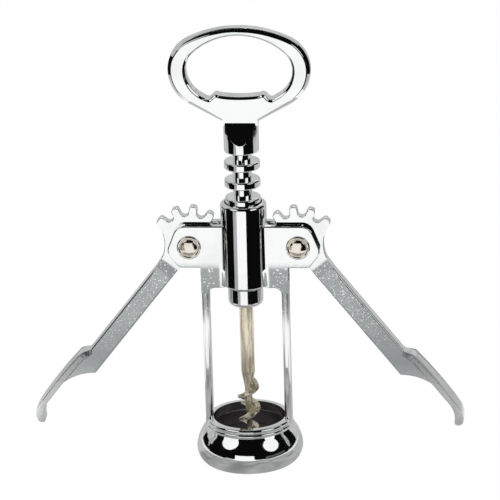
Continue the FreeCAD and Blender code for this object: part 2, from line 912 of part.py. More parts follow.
def make_key():
    """Ring handle with a bottle opener, round shank with two facets, and the spindle pin."""
    body = new_body("key")
    half = size("ring_half")
    centre = pivot_height + size("ring_above")
    crown = centre + size("ring_crown")
    shoulder = size("ring_shoulder")
    hip = size("ring_hip")
    slope = size("neck_slope")

    def crown_radius(half_width, rise, side_radius):
        """Radius of the top arc that runs on smoothly from two side arcs."""
        gap = half_width - side_radius
        return (gap * gap + rise * rise - side_radius * side_radius) / ((rise - side_radius) * 2)

    def join(half_width, rise, side_radius):
        """Point where the top arc meets a side arc, as x and height over the centre."""
        top_radius = crown_radius(half_width, rise, side_radius)
        share = top_radius / (top_radius - side_radius)
        return (half_width - side_radius) * share, rise - top_radius + (top_radius - rise) * share

    top_radius = crown_radius(half, size("ring_crown"), shoulder)
    join_x, join_z = join(half, size("ring_crown"), shoulder)
    hip_x = half - hip + hip * sine(slope)
    hip_z = centre - hip * cosine(slope)
    neck = size("shank_radius")
    ring_round = size("ring_bevel")
    sketch = new_sketch(body, "ring_outline", "XZ_Plane")
    neck_top = hip_z - (hip_x - neck) * sine(slope) / cosine(slope)
    outline(
        sketch,
        [
            (ZERO, crown),
            (join_x, centre + join_z),
            (half, centre),
            (hip_x, hip_z),
            (neck, neck_top),
            (neck, neck_height - size("ring_root")),
            (-neck, neck_height - size("ring_root")),
            (-neck, neck_top),
            (-hip_x, hip_z),
            (-half, centre),
            (-join_x, centre + join_z),
        ],
        {
            0: (top_radius, True),
            1: (shoulder, True),
            2: (hip, True),
            8: (hip, True),
            9: (shoulder, True),
            10: (top_radius, True),
        },
    )
    plate = thicken(body, sketch, "ring_plate", size("key_depth"))

    half_key = size("key_depth") / 2

    def on_flat(box):
        return abs(abs(box.YMin) - half_key.value) < 1e-4 and box.YLength < 1e-4

    def on_ring_face(item):
        box = item.BoundBox
        return on_flat(box) and box.ZMax > neck_top.value + ring_round.value

    bevel(body, plate, "ring_bevels", ring_round, size("ring_bevel_depth"), on_ring_face)

    hole = size("hole_half")
    hole_rise = size("hole_crown")
    hole_side = size("hole_shoulder")
    notch = size("notch_reach")
    notch_round = size("notch_round")
    tongue = size("tongue_half")
    corner = size("tongue_corner")
    notch_z = centre - size("notch_drop")
    tongue_z = centre - size("tongue_drop")
    hip_run = hole - notch - notch_round
    hole_hip = rising_bow(size("notch_drop"), hip_run)
    flat_half = tongue - corner
    dip = size("tongue_dip")
    dip_radius = rising_bow(flat_half, dip)
    top_radius = crown_radius(hole, hole_rise, hole_side)
    join_x, join_z = join(hole, hole_rise, hole_side)
    sketch = new_sketch(body, "hole_outline", "XZ_Plane")
    outline(
        sketch,
        [
            (ZERO, centre + hole_rise),
            (join_x, centre + join_z),
            (hole, centre),
            (notch + notch_round, notch_z),
            (notch - notch_round, notch_z),
            (tongue + corner, tongue_z),
            (flat_half, tongue_z),
            (-flat_half, tongue_z),
            (-(tongue + corner), tongue_z),
            (-(notch - notch_round), notch_z),
            (-(notch + notch_round), notch_z),
            (-hole, centre),
            (-join_x, centre + join_z),
        ],
        {
            0: (top_radius, True),
            1: (hole_side, True),
            2: (hole_hip, True),
            3: (size("notch_bow"), True),
            5: (size("tongue_round"), False),
            6: (dip_radius, True),
            7: (size("tongue_round"), False),
            9: (size("notch_bow"), True),
            10: (hole_hip, True),
            11: (hole_side, True),
            12: (top_radius, True),
        },
    )
    opened = thicken(body, sketch, "finger_hole", size("key_depth") + SPARE, "PartDesign::Pocket")
    hole_round = size("hole_bevel")

    def on_hole_face(item):
        box = item.BoundBox
        across = max(abs(box.XMin), abs(box.XMax)) < (hole + hole_round).value
        down = box.ZMin > (notch_z - notch_round - hole_round).value
        return on_flat(box) and across and down and box.ZMax < (centre + hole_rise + hole_round).value

    bevel(body, opened, "hole_bevels", hole_round, size("hole_bevel_depth"), on_hole_face)

    shank = size("shank_radius")
    edge = size("shank_edge")
    sketch = new_sketch(body, "shank_profile", "XZ_Plane")
    outline(
        sketch,
        [
            (ZERO, shank_bottom),
            (shank - edge, shank_bottom),
            (shank, shank_bottom + edge),
            (shank, neck_height),
            (ZERO, neck_height),
        ],
        {1: (edge, False)},
    )
    spin(body, sketch, "shank")

    facet_foot = pivot_height + size("facet_foot")
    facet_head = neck_height + size("facet_head")
    for way, hand in ((-1, "front"), (1, "back")):
        sketch = new_sketch(body, "facet_outline_" + hand, "YZ_Plane")
        outline(
            sketch,
            [
                (half_key * way, facet_head),
                (half_key * way, neck_height),
                (shank * way, facet_foot),
                ((shank + SPARE) * way, facet_foot),
                ((shank + SPARE) * way, facet_head),
            ],
        )
        facet = thicken(body, sketch, "facet_" + hand, shank * 2 + SPARE, "PartDesign::Pocket")

    def on_facet_rim(item):
        box = item.BoundBox
        curved = min(box.XLength, box.YLength, box.ZLength) > edge.value
        return curved and box.ZMax < facet_head.value and box.ZMin > shank_bottom.value

    soften(body, facet, "facet_edges", size("facet_round"), on_facet_rim)

    sketch = new_sketch(body, "pin_profile", "XZ_Plane")
    box_outline(sketch, ZERO, size("spindle_pin"), ferrule_top - size("pin_socket"), shank_bottom + edge)
    spin(body, sketch, "pin")
    return body


def make_ferrule():
    """The plain end of the spindle below the rack, which holds the worm."""
    body = new_body("ferrule")
    radius = size("ferrule_radius")
    edge = size("ferrule_edge")
    top_edge = size("ferrule_top_edge")
    sketch = new_sketch(body, "ferrule_profile", "XZ_Plane")
    fit = size("pin_fit")
    outline(
        sketch,
        [
            (size("worm_shank") + fit, ferrule_bottom),
            (radius - edge, ferrule_bottom),
            (radius, ferrule_bottom + edge),
            (radius, ferrule_top - top_edge),
            (radius - top_edge, ferrule_top),
            (size("spindle_pin") + fit, ferrule_top),
            (size("spindle_pin") + fit, ferrule_bottom + size("worm_socket")),
            (size("worm_shank") + fit, ferrule_bottom + size("worm_socket")),
        ],
        {1: (edge, False), 3: (top_edge, False)},
    )
    spin(body, sketch, "ferrule_turn")
    return body


def make_worm():
    """The steel worm: round shank, tapering core and a right-hand blade wound round it."""
    body = new_body("worm")
    shank = size("worm_shank")
    core = size("worm_core")
    shank_end = ferrule_bottom - size("worm_shank_length")
    shank_top = ferrule_bottom + size("worm_socket") - size("pin_fit")
    neck_end = shank_end - size("worm_neck")
    tip = ferrule_bottom - size("worm_reach")
    sketch = new_sketch(body, "core_outline", "XZ_Plane")
    outline(
        sketch,
        [
            (ZERO, tip),
            (core * size("worm_point"), tip + size("worm_point_length")),
            (core, neck_end),
            (shank, shank_end),
            (shank, shank_top),
            (ZERO, shank_top),
        ],
    )
    spin(body, sketch, "worm_core_turn")

    pitch = size("worm_pitch")
    blade = size("worm_blade")
    rim = size("worm_rim")
    outer = size("worm_radius")
    start = ferrule_bottom - size("blade_reach")
    sketch = new_sketch(body, "blade_profile", "XZ_Plane")
    outline(
        sketch,
        [
            (core / 2, start - blade / 2),
            (outer - rim / 2, start - rim / 2),
            (outer - rim / 2, start + rim / 2),
            (core / 2, start + blade / 2),
        ],
        {1: (size("worm_rim_bow"), False)},
    )
    helix = body.newObject("PartDesign::AdditiveHelix", "blade")
    helix.Profile = sketch
    helix.ReferenceAxis = (sketch, ["V_Axis"])
    helix.Mode = 0
    helix.Pitch = pitch.value
    helix.setExpression("Pitch", pitch.text)
    climb = pitch * size("worm_turns")
    helix.Height = climb.value
    helix.setExpression("Height", climb.text)
    helix.LeftHanded = False
    helix.Reversed = False

    sketch = new_sketch(body, "taper_outline", "XZ_Plane")
    wide = outer + SPARE
    below = start - blade - SPARE
    top = start + climb + blade
    skin = shank + size("taper_skin")
    outline(
        sketch,
        [
            (ZERO, below),
            (wide, below),
            (wide, top),
            (skin, top),
            (skin, neck_end + size("taper_head")),
            (outer, neck_end - size("taper_neck")),
            (outer, tip + size("taper_point")),
            (ZERO, tip),
        ],
    )
    spin(body, sketch, "blade_taper", "PartDesign::Groove")
    return body


pieces = [
    make_frame(),
    make_liner(),
    make_rivet(-1, "left"),
    make_rivet(1, "right"),
    make_lever(-1, "left"),
    make_lever(1, "right"),
    make_rack(),
    make_key(),
    make_ferrule(),
    make_worm(),
]
doc.recompute()

for item in doc.Objects:
    if "Invalid" in item.State or "Error" in item.State:
        raise RuntimeError("%s failed: %s" % (item.Name, item.State))
for piece in pieces:
    shape = piece.Shape
    if shape.isNull() or not shape.isValid() or len(shape.Solids) != 1:
        raise RuntimeError("%s is not one sound solid" % piece.Label)

os.makedirs("parts", exist_ok=True)
for piece in pieces:
    piece.Shape.exportStep("parts/%s.step" % piece.Label)
    box = piece.Shape.BoundBox
    print(
        "%-12s volume %8.1f  x %6.1f %6.1f  y %6.1f %6.1f  z %6.1f %6.1f"
        % (piece.Label, piece.Shape.Volume, box.XMin, box.XMax, box.YMin, box.YMax, box.ZMin, box.ZMax)
    )
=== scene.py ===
import logging
import math
from dataclasses import dataclass
from enum import Enum
from typing import Sequence

import bmesh
import bpy
from mathutils import Matrix, Vector
from mathutils.bvhtree import BVHTree
from mathutils.geometry import area_tri


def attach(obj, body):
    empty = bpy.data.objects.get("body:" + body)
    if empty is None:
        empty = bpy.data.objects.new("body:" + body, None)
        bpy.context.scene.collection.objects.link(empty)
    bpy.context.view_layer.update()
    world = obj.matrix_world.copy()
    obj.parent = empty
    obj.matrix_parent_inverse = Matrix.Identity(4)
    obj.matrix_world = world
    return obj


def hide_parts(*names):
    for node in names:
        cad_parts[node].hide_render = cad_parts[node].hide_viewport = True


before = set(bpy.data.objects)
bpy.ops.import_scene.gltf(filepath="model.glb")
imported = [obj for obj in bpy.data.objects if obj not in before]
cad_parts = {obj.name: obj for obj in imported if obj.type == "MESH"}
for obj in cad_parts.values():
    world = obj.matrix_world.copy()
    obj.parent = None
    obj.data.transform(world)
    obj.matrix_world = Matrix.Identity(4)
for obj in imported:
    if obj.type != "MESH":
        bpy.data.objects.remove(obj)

LOG = logging.getLogger("corkscrew")
MM = 0.001
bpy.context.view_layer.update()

# Corners nearer than this are one corner.
WELD = 1e-6
# Heights and depths nearer than this are the same.
TOUCH = 1e-7
# The right rivet's place: across and up.
PIVOT = (19.0 * MM, 80.6 * MM)

Span = tuple[float, float]
Triple = tuple[float, float, float]
Plane = tuple[float, ...]


class Wire:
    """An output socket of a material's node that can stand in a sum."""

    def __init__(self, paint: "Paint", socket: bpy.types.NodeSocket) -> None:
        """Keeps the material and the socket together."""
        self.paint = paint
        self.socket = socket

    def maths(self, operation: str, first: object, second: object = 0.0) -> "Wire":
        """Adds a Math node.

        Args:
            operation: the Math node's operation.
            first: a wire or a number.
            second: a wire or a number.

        Returns:
            The node's result.
        """
        return self.paint.node("ShaderNodeMath", {"operation": operation}, {0: first, 1: second})

    def __add__(self, other: object) -> "Wire":
        """Sum."""
        return self.maths("ADD", self, other)

    def __sub__(self, other: object) -> "Wire":
        """Difference."""
        return self.maths("SUBTRACT", self, other)

    def __mul__(self, other: object) -> "Wire":
        """Product."""
        return self.maths("MULTIPLY", self, other)

    def __radd__(self, other: object) -> "Wire":
        """Sum with a number on the left."""
        return self.maths("ADD", other, self)

    def __rsub__(self, other: object) -> "Wire":
        """Difference with a number on the left."""
        return self.maths("SUBTRACT", other, self)

    def __rmul__(self, other: object) -> "Wire":
        """Product with a number on the left."""
        return self.maths("MULTIPLY", other, self)

    def size(self) -> "Wire":
        """Drops the sign."""
        return self.maths("ABSOLUTE", self)

    def ramp(self, low: float, high: float) -> "Wire":
        """Runs smoothly from 0 at low to 1 at high.

        Args:
            low: the value that gives 0.
            high: the value that gives 1.

        Returns:
            The smooth step.
        """
        return self.paint.node(
            "ShaderNodeMapRange",
            {"interpolation_type": "SMOOTHSTEP"},
            {"Value": self, "From Min": low, "From Max": high},
        )


class Paint:
    """One node material under construction."""

    # A Mix node's sockets for colours.
    MIX_SHARE, MIX_FIRST, MIX_SECOND = 0, 6, 7
    MIX_COLOUR = 2
    # How wide the grains of noise are at a scale of 1, in metres.
    GRAIN = 0.5

    def __init__(self, name: str, tree: bpy.types.NodeTree | None = None) -> None:
        """Starts an empty material, or takes over a given node tree.

        Args:
            name: the material's name.
            tree: the tree to take over, such as the world's.
        """
        self.material = None
        if tree is None:
            self.material = bpy.data.materials.new(name)
            self.material.use_nodes = True
            tree = self.material.node_tree
        self.tree = tree
        self.tree.nodes.clear()

    def node(
        self,
        kind: str,
        settings: dict[str, object] | None = None,
        inputs: dict[str | int, object] | None = None,
        output: str | int = 0,
    ) -> Wire:
        """Adds a node, sets it up and links it.

        Args:
            kind: the node's type.
            settings: its own properties, set before its sockets.
            inputs: a value or a wire for each of its input sockets.
            output: the output that is wanted.

        Returns:
            That output as a wire.
        """
        node = self.tree.nodes.new(kind)
        for key, value in (settings or {}).items():
            setattr(node, key, value)
        for key, value in (inputs or {}).items():
            socket = node.inputs[key]
            if isinstance(value, Wire):
                self.tree.links.new(value.socket, socket)
            else:
                socket.default_value = value
        return Wire(self, node.outputs[output]) if node.outputs else Wire(self, None)

    def place(self) -> Wire:
        """Gives the point on the piece in the object's own coordinates."""
        return self.node("ShaderNodeTexCoord", output="Object")

    def axis(self, place: Wire, letter: str) -> Wire:
        """Takes one coordinate of a place."""
        return self.node("ShaderNodeSeparateXYZ", {}, {"Vector": place}, letter)

    def away(self, place: Wire, spot: Sequence[float]) -> Wire:
        """Gives the distance of a place from a spot."""
        ends = {0: place, 1: tuple(spot)}
        return self.node("ShaderNodeVectorMath", {"operation": "DISTANCE"}, ends, "Value")

    def stretched(self, place: Wire, scale: Sequence[float]) -> Wire:
        """Squeezes the coordinates, which draws the pattern out."""
        return self.node("ShaderNodeMapping", {}, {"Vector": place, "Scale": tuple(scale)})

    def noise(self, place: Wire, size: float, detail: float = 3.0) -> Wire:
        """Gives noise whose grains are about size across.

        Args:
            place: the coordinates that the noise reads.
            size: the grain size in metres.
            detail: the number of finer layers.

        Returns:
            The noise, about 0.5 on average.
        """
        inputs = {"Vector": place, "Scale": self.GRAIN / size, "Detail": detail}
        return self.node("ShaderNodeTexNoise", {}, inputs, "Fac")

    def blend(self, share: object, first: object, second: object) -> Wire:
        """Mixes two colours.

        Args:
            share: the share of the second colour.
            first: the colour at 0.
            second: the colour at 1.

        Returns:
            The mixed colour.
        """
        inputs = {self.MIX_SHARE: share, self.MIX_FIRST: first, self.MIX_SECOND: second}
        return self.node("ShaderNodeMix", {"data_type": "RGBA"}, inputs, self.MIX_COLOUR)

    def surface(
        self, inputs: dict[str, object], relief: Wire, depth: float = MM, strength: float = 1.0
    ) -> bpy.types.Material:
        """Finishes the material as a surface with a fine relief.

        Args:
            inputs: values or wires for the surface's own sockets.
            relief: the relief's height, in shares of its depth.
            depth: the depth in metres.
            strength: how much of the relief counts.

        Returns:
            The material.
        """
        bump = self.node(
            "ShaderNodeBump", {}, {"Strength": strength, "Distance": depth, "Height": relief}
        )
        return self.finish(self.node("ShaderNodeBsdfPrincipled", {}, {**inputs, "Normal": bump}))

    def finish(self, shader: Wire) -> bpy.types.Material:
        """Links the shader to the material's output and returns the material."""
        self.node("ShaderNodeOutputMaterial", {}, {"Surface": shader})
        return self.material


def rgba(colour: Sequence[float]) -> tuple[float, float, float, float]:
    """Adds a full alpha to a colour."""
    return (colour[0], colour[1], colour[2], 1.0)


class Cast(Enum):
    """Where a piece keeps the rough skin of its casting under the plating."""

    NOWHERE = "nowhere"
    WEBS = "webs"
    LEFT_ARM = "left arm"
    RIGHT_ARM = "right arm"


@dataclass(frozen=True)
class Plating:
    """Polished metal plating with faint haze, over a casting that is rough in places."""

    name: str
    cast: Cast = Cast.NOWHERE
    # The polished skin.
    tint: Triple = (0.925, 0.945, 0.94)
    shade: Triple = (0.80, 0.825, 0.82)
    gloss: float = 0.03
    haze: float = 0.04
    cloud_size: float = 5.0 * MM
    cloud_span: Span = (0.42, 0.68)
    cloud_share: float = 0.5
    ripple: float = 0.010
    ripple_size: float = 1.6 * MM
    # The rough skin: its darker colour, which only the parts above a set height take, as painted
    # shade, its grain, and the bright specks that polishing left on it.
    rough_skin_and_painted_shade: Triple = (0.43, 0.455, 0.46)
    rough_share: float = 0.85
    dull: float = 0.34
    grain: float = 0.045
    grain_size: float = 0.45 * MM
    grain_layers: float = 2.5
    # Painted shade: from this height up, the rough skin's colour darkens by height alone.
    painted_shade_from: float = 24.0 * MM
    painted_shade_fade: float = 16.0 * MM
    speck_size: float = 0.30 * MM
    speck_layers: float = 2.0
    speck_span: Span = (0.60, 0.66)
    speck_share: float = 0.9
    specks_from: float = 32.0 * MM
    specks_fade: float = 30.0 * MM
    # Where the webs are rough: between two heights, outside the barrel.
    webs_top: Span = (72.0 * MM, 75.5 * MM)
    webs_foot: Span = (50.0 * MM, 60.0 * MM)
    webs_start: Span = (8.2 * MM, 9.0 * MM)
    # Where an arm is rough: on its flat faces, away from its gear, and all over at its tip.
    arm_half: float = 2.5 * MM
    arm_blend: float = 0.2 * MM
    hub: Span = (7.5 * MM, 11.0 * MM)
    shoulder: Span = (13.0 * MM, 15.0 * MM)
    shoulder_drop: float = 0.6 * MM
    tip_fade: float = 12.0 * MM

    def rough_part(self, paint: Paint, place: Wire) -> Wire | None:
        """Gives the share of rough casting at each place.

        Args:
            paint: the material under construction.
            place: the place on the piece.

        Returns:
            0 where it is polished and 1 where it is rough, or nothing.
        """
        if self.cast is Cast.NOWHERE:
            return None
        height = paint.axis(place, "Z")
        if self.cast is Cast.WEBS:
            outward = paint.axis(place, "X").size()
            between = (1 - height.ramp(*self.webs_top)) * height.ramp(*self.webs_foot)
            return between * outward.ramp(*self.webs_start)
        side = -1.0 if self.cast is Cast.LEFT_ARM else 1.0
        away = paint.away(place, (side * PIVOT[0], 0.0, PIVOT[1]))
        shoulder = (1 - away.ramp(*self.shoulder)) * self.shoulder_drop
        flat = paint.axis(place, "Y").size() + shoulder
        flat = flat.ramp(self.arm_half - self.arm_blend, self.arm_half)
        tip = 1 - height.ramp(self.painted_shade_from, self.painted_shade_from + self.tip_fade)
        return away.ramp(*self.hub) * flat.maths("MAXIMUM", flat, tip)

    def material(self) -> bpy.types.Material:
        """Builds the plated metal.

        Returns:
            The material.
        """
        paint = Paint(self.name)
        place = paint.place()
        cloud = paint.noise(place, self.cloud_size).ramp(*self.cloud_span)
        relief = paint.noise(place, self.ripple_size) * self.ripple
        roughness = cloud * self.haze + self.gloss
        colour = paint.blend(cloud * self.cloud_share, rgba(self.tint), rgba(self.shade))
        rough = self.rough_part(paint, place)
        if rough is not None:
            height = paint.axis(place, "Z")
            grain = paint.noise(place, self.grain_size, self.grain_layers)
            relief = relief + grain * self.grain * rough
            specks = paint.noise(place, self.speck_size, self.speck_layers)
            specks = specks.ramp(*self.speck_span)
            specks = specks * height.ramp(self.specks_from, self.specks_from + self.specks_fade)
            skin = rough * (1 - specks * self.speck_share)
            roughness = roughness + skin * self.dull
            # Painted shade: the rough skin's colour is darker higher up, by height alone.
            painted_shade_by_height = height.ramp(self.painted_shade_from, self.painted_shade_from + self.painted_shade_fade)
            colour = paint.blend(skin * painted_shade_by_height * self.rough_share, colour, rgba(self.rough_skin_and_painted_shade))
        inputs = {"Base Color": colour, "Metallic": 1.0, "Roughness": roughness}
        return paint.surface(inputs, relief)


@dataclass(frozen=True)
class DrawnSteel:
    """Bare steel wire of a warm grey, with the streaks of its drawing."""

    name: str
    tint: Triple = (0.76, 0.69, 0.55)
    shade: Triple = (0.46, 0.41, 0.31)
    metal: float = 0.88
    gloss: float = 0.08
    haze: float = 0.2
    layers: float = 4.0
    streak: float = 0.035
    streak_size: float = 0.45 * MM
    streak_span: Span = (0.40, 0.62)
    streak_draw: Triple = (1.0, 1.0, 0.10)
    pit: float = 0.01
    pit_size: float = 0.5 * MM

    def material(self) -> bpy.types.Material:
        """Builds the steel.

        Returns:
            The material.
        """
        paint = Paint(self.name)
        place = paint.place()
        drawn = paint.stretched(place, self.streak_draw)
        streaks = paint.noise(drawn, self.streak_size, self.layers)
        pits = paint.noise(place, self.pit_size, self.layers)
        colour = paint.blend(streaks.ramp(*self.streak_span), rgba(self.tint), rgba(self.shade))
        relief = streaks * self.streak + pits * self.pit
        roughness = pits * self.haze + self.gloss
        inputs = {"Base Color": colour, "Metallic": self.metal, "Roughness": roughness}
        return paint.surface(inputs, relief)


@dataclass(frozen=True)
class Moulding:
    """Plain black moulded plastic."""

    name: str
    tint: Triple = (0.016, 0.012, 0.014)
    lighter: float = 2.2
    gloss: float = 0.22
    haze: float = 0.15
    specular: float = 0.5
    grain_size: float = 0.4 * MM
    grain_layers: float = 4.0
    grain_depth: float = 0.02 * MM
    grain_strength: float = 0.5

    def material(self) -> bpy.types.Material:
        """Builds the black plastic.

        Returns:
            The material.
        """
        paint = Paint(self.name)
        grain = paint.noise(paint.place(), self.grain_size, self.grain_layers)
        light = [part * self.lighter for part in self.tint]
        inputs = {
            "Base Color": paint.blend(grain, rgba(self.tint), rgba(light)),
            "Roughness": grain * self.haze + self.gloss,
            "Specular IOR Level": self.specular,
        }
        return paint.surface(inputs, grain, self.grain_depth, self.grain_strength)


def placed(
    name: str, mesh: bmesh.types.BMesh, material: bpy.types.Material
) -> bpy.types.Object:
    """Makes a mesh an object of the scene.

    Args:
        name: the object's name.
        mesh: the mesh, which is used up.
        material: its finish.

    Returns:
        The object.
    """
    data = bpy.data.meshes.new(name)
    mesh.to_mesh(data)
    mesh.free()
    data.materials.append(material)
    thing = bpy.data.objects.new(name, data)
    bpy.context.scene.collection.objects.link(thing)
    return thing


def smooth_piece(
    name: str, mesh: bmesh.types.BMesh, material: bpy.types.Material
) -> bpy.types.Object:
    """Closes a mesh, shades it smooth and makes it an object of the scene.

    Args:
        name: the object's name.
        mesh: the mesh, which is used up.
        material: its finish.

    Returns:
        The object.
    """
    bmesh.ops.remove_doubles(mesh, verts=mesh.verts, dist=WELD)
    bmesh.ops.recalc_face_normals(mesh, faces=mesh.faces)
    for face in mesh.faces:
        face.smooth = True
    return placed(name, mesh, material)


def even_shading(thing: bpy.types.Object, weight: int = 50) -> None:
    """Lets a piece's large faces keep their shading flat, up to its sharp edges.

    Args:
        thing: the piece.
        weight: how much a face's size counts, 50 being even.
    """
    evened = thing.modifiers.new("even_shading", "WEIGHTED_NORMAL")
    evened.weight = weight
    evened.keep_sharp = True


def line_end(made: dict[str, list]) -> bmesh.types.BMVert:
    """Gives the corner at which a spin has ended."""
    return next(item for item in made["geom_last"] if isinstance(item, bmesh.types.BMVert))


class Lathe:
    """A turned shape: a line of runs and arcs, spun about the upright axis."""

    def __init__(self, radius: float, height: float) -> None:
        """Starts the line at one point."""
        self.mesh = bmesh.new()
        self.last = self.mesh.verts.new((radius, 0, height))

    def run(self, radius: float, height: float) -> "Lathe":
        """Draws a straight run to a point.

        Args:
            radius: the point's distance from the axis.
            height: the point's height.

        Returns:
            The lathe, for the next stroke.
        """
        point = self.mesh.verts.new((radius, 0, height))
        self.mesh.edges.new((self.last, point))
        self.last = point
        return self

    def arc(self, centre: Span, turn: float, steps: int) -> "Lathe":
        """Draws an arc about a centre.

        Args:
            centre: the arc's centre, as radius and height.
            turn: how far it goes, in degrees, from out to up.
            steps: how many chords it has.

        Returns:
            The lathe, for the next stroke.
        """
        made = bmesh.ops.spin(
            self.mesh,
            geom=[self.last],
            cent=(centre[0], 0, centre[1]),
            axis=(0, -1, 0),
            angle=math.radians(turn),
            steps=steps,
        )
        self.last = line_end(made)
        return self

    def spun(self, steps: int = 72) -> bmesh.types.BMesh:
        """Spins the line all the way round.

        Args:
            steps: how many sides the round has.

        Returns:
            The turned mesh.
        """
        bmesh.ops.spin(
            self.mesh,
            geom=self.mesh.verts[:] + self.mesh.edges[:],
            cent=(0, 0, 0),
            axis=(0, 0, 1),
            angle=math.radians(360),
            steps=steps,
            use_merge=True,
        )
        bmesh.ops.remove_doubles(self.mesh, verts=self.mesh.verts, dist=WELD)
        return self.mesh


@dataclass
class Rivet:
    """One rivet: a shank through both ears, with a beaded flange and a low dome at each end."""

    node: str
    across: float
    height: float = PIVOT[1]
    ear_half: float = 4.3 * MM
    shank: float = 2.0 * MM
    flange: float = 4.2 * MM
    bead: float = 0.48 * MM
    bead_rise: float = 0.7
    bead_turn: float = 150.0
    bead_steps: int = 9
    groove: float = 0.45 * MM
    dome: float = 2.95 * MM
    dome_bow: float = 8.0 * MM
    dome_rim: float = 0.25 * MM
    dome_steps: int = 8

    def build(self, material: bpy.types.Material) -> bpy.types.Object:
        """Turns the rivet and lays it through the ears.

        Args:
            material: its finish.

        Returns:
            The rivet.
        """
        face = self.ear_half
        bead = (self.flange - self.bead, face + self.bead * self.bead_rise)
        floor = face + self.groove
        rim = floor + self.dome_rim
        swing = math.degrees(math.asin(self.dome / self.dome_bow))
        drop = self.dome_bow * math.cos(math.radians(swing))
        lathe = Lathe(self.shank, 0.0).run(self.shank, face).run(self.flange, face)
        lathe.run(self.flange, bead[1]).arc(bead, self.bead_turn, self.bead_steps)
        lathe.run(self.dome, floor).run(self.dome, rim)
        mesh = lathe.arc((0.0, rim - drop), swing, self.dome_steps).spun()
        whole = mesh.verts[:] + mesh.edges[:] + mesh.faces[:]
        bmesh.ops.mirror(mesh, geom=whole, axis="Z", merge_dist=WELD)
        tip = Matrix.Rotation(math.radians(90), 4, "X")
        move = Matrix.Translation((self.across, 0, self.height))
        bmesh.ops.transform(mesh, matrix=move @ tip, verts=mesh.verts)
        thing = smooth_piece(self.node + "_turned", mesh, material)
        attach(thing, "stand")
        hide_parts(self.node)
        LOG.info("turned %s: %d faces", self.node, len(thing.data.polygons))
        return thing


@dataclass
class Throats:
    """The four rounded throats where the ears and webs run into the barrel."""

    barrel: float = 8.07 * MM
    sweep: float = 1.9 * MM
    sweep_steps: int = 8
    root: float = 0.75
    sink: float = 0.6 * MM
    # Heights, with half the thickness of the plate there.
    levels: tuple[Span, ...] = (
        (65.95 * MM, 3.36 * MM),
        (72.95 * MM, 4.28 * MM),
        (88.0 * MM, 4.28 * MM),
    )

    def ring(self, mesh: bmesh.types.BMesh, height: float, half: float) -> list[bmesh.types.BMEdge]:
        """Draws one section of a throat at the right front corner.

        Args:
            mesh: the mesh that takes it.
            height: how high the section lies.
            half: half the thickness of the plate there.

        Returns:
            The edges of the section.
        """
        out = self.barrel + self.sweep
        across = math.sqrt(out**2 - (half + self.sweep) ** 2)
        start = mesh.verts.new((across, -half, height))
        made = bmesh.ops.spin(
            mesh,
            geom=[start],
            cent=(across, -half - self.sweep, height),
            axis=(0, 0, 1),
            angle=math.atan2(across, half + self.sweep),
            steps=self.sweep_steps,
        )
        inside = mesh.verts.new((self.barrel * self.root, -half + self.sink, height))
        mesh.edges.new((line_end(made), inside))
        mesh.edges.new((inside, start))
        return [edge for edge in mesh.edges if abs(edge.verts[0].co.z - height) < TOUCH]

    def build(self, material: bpy.types.Material) -> bpy.types.Object:
        """Lofts the throats and mirrors them to all four corners.

        Args:
            material: their finish.

        Returns:
            The throats as one piece.
        """
        mesh = bmesh.new()
        rings = [self.ring(mesh, height, half) for height, half in self.levels]
        for low, high in zip(rings, rings[1:]):
            bmesh.ops.bridge_loops(mesh, edges=low + high)
        bmesh.ops.contextual_create(mesh, geom=rings[0])
        bmesh.ops.contextual_create(mesh, geom=rings[-1])
        for axis in ("X", "Y"):
            whole = mesh.verts[:] + mesh.edges[:] + mesh.faces[:]
            bmesh.ops.mirror(mesh, geom=whole, axis=axis, merge_dist=TOUCH)
        thing = smooth_piece("ear_throats", mesh, material)
        even_shading(thing)
        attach(thing, "stand")
        LOG.info("lofted the ear throats: %d faces", len(thing.data.polygons))
        return thing


@dataclass(frozen=True)
class Spared:
    """The frame's lever slots and its webs' outer ends, in millimetres, which stay sharp."""

    start: float = 8.5
    foot: float = 60.0
    slot_half: float = 1.9
    web_end: Span = (14.5, 16.0)
    web_top: float = 74.0

    def holds(self, corner: bmesh.types.BMVert) -> bool:
        """Tells whether a corner lies there.

        Args:
            corner: the corner.

        Returns:
            Whether it does.
        """
        x, y, z = (abs(value) / MM for value in corner.co)
        web = self.web_end[0] < x < self.web_end[1] and z < self.web_top
        return x > self.start and z > self.foot and (y < self.slot_half or web)


